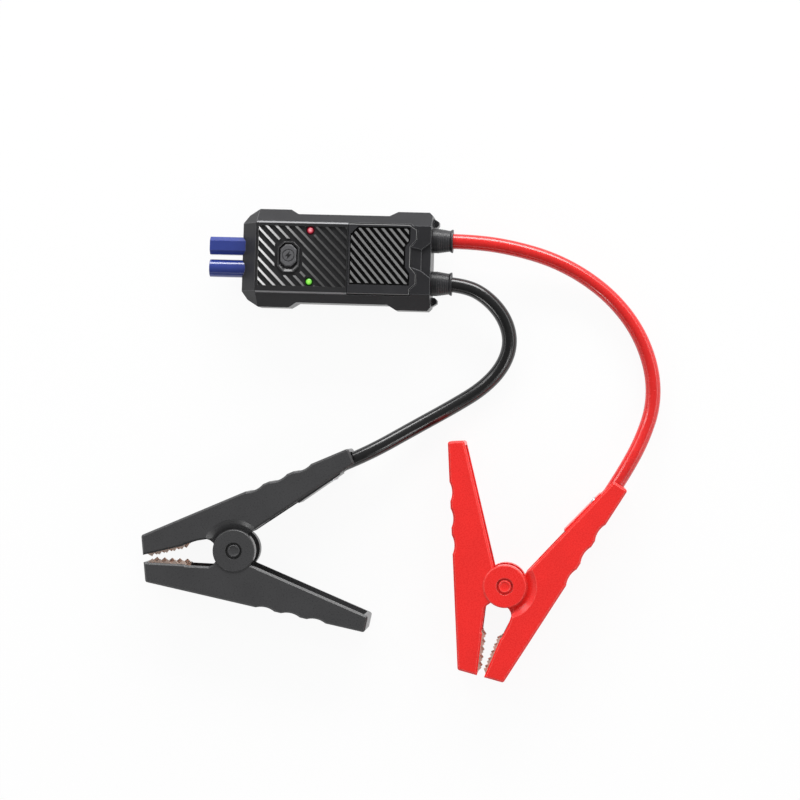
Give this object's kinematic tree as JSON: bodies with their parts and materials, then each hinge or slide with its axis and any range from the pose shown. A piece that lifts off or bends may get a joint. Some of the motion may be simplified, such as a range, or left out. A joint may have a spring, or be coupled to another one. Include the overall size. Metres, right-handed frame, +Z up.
{
  "type": "jumper cable clamp lead",
  "caption": "Jump starter lead: a control module with a twin-tube battery plug and push button, and a red and a black cable, each ending in a sprung battery clamp.",
  "frame": {"origin": "centre of the control module's flat underside, on the surface that everything lies on", "axes": "+X along the module from the plug to the cables, +Z up out of the button side, +Y to the side of the red cable"},
  "size_m": [0.252, 0.2272, 0.0256],
  "materials": {
    "case_black": "fine moulded texture",
    "panel_grey": "satin moulded",
    "rib_grey": "satin moulded",
    "bezel_grey": "satin",
    "button_grey": "satin",
    "lens_red": "clear red lens",
    "lens_green": "clear green lens",
    "plug_blue": "smooth moulded",
    "gold_contact": "plated",
    "relief_black": "moulded",
    "cable_red": "satin jacket",
    "cable_black": "satin jacket",
    "clamp_red": "moulded, faint texture",
    "clamp_black": "moulded, faint texture",
    "copper": "copper-plated, bright",
    "spring_steel": "zinc-plated",
    "screw_steel": "zinc-plated",
    "board_green": "solder resist",
    "part_black": "moulded",
    "capacitor_blue": "sleeved",
    "tinned": "tinned copper"
  },
  "bodies": {
    "lead": {"top_cover": "case_black", "bottom_cover": "case_black", "control_panel": "panel_grey", "rib_panel": "rib_grey", "button_bezel": "bezel_grey", "tact_switch": "part_black", "red_led": "lens_red", "green_led": "lens_green", "circuit_board": "board_green", "power_relay": "part_black", "power_transistors": "part_black", "controller_chip": "part_black", "buzzer": "part_black", "filter_capacitors": "capacitor_blue", "board_screws": "screw_steel", "case_screws": "screw_steel", "plug_housing": "plug_blue", "plug_contact_positive": "gold_contact", "plug_contact_negative": "gold_contact", "positive_busbar": "tinned", "negative_busbar": "tinned", "red_strain_relief": "relief_black", "black_strain_relief": "relief_black", "red_cable_case_end": "cable_red", "black_cable_case_end": "cable_black", "red_output_lug": "tinned", "black_output_lug": "tinned", "red_cable": "cable_red", "black_cable": "cable_black", "red_cable_arm": "clamp_red", "red_pivot_pin": "spring_steel", "red_pivot_caps": "clamp_red", "red_torsion_spring": "spring_steel", "red_cable_jaw": "copper", "red_cable_jaw_rivets": "copper", "red_cable_lug": "tinned", "red_cable_saddle": "clamp_red", "red_saddle_screws": "screw_steel", "red_cable_clamp_end": "cable_red", "black_cable_arm": "clamp_black", "black_pivot_pin": "spring_steel", "black_pivot_caps": "clamp_black", "black_torsion_spring": "spring_steel", "black_cable_jaw": "copper", "black_cable_jaw_rivets": "copper", "black_cable_lug": "tinned", "black_cable_saddle": "clamp_black", "black_saddle_screws": "screw_steel", "black_cable_clamp_end": "cable_black"},
    "button": {"power_button": "button_grey", "switch_plunger": "part_black"},
    "red_free": {"red_free_arm": "clamp_red", "red_free_jaw": "copper", "red_free_jaw_rivets": "copper"},
    "black_free": {"black_free_arm": "clamp_black", "black_free_jaw": "copper", "black_free_jaw_rivets": "copper"}
  },
  "joints": [
    {"name": "power_button_press", "type": "slide", "parent": "lead", "child": "button", "axis": [0, 0, -1], "range_m": [0, 0.0008], "stiffness_N_per_m": 1500, "springref_m": -0.0006},
    {"name": "red_clamp_hinge", "type": "hinge", "parent": "lead", "child": "red_free", "pos_m": [0.0853, -0.1567, 0.0115], "axis": [0, 0, -1], "range_deg": [0, 45], "stiffness_Nm_per_rad": 1.5, "springref_deg": -28.65, "deforming": ["red_torsion_spring"]},
    {"name": "black_clamp_hinge", "type": "hinge", "parent": "lead", "child": "black_free", "pos_m": [-0.0477, -0.1443, 0.0115], "axis": [0, 0, 1], "range_deg": [0, 45], "stiffness_Nm_per_rad": 1.5, "springref_deg": -28.65, "deforming": ["black_torsion_spring"]}
  ]
}
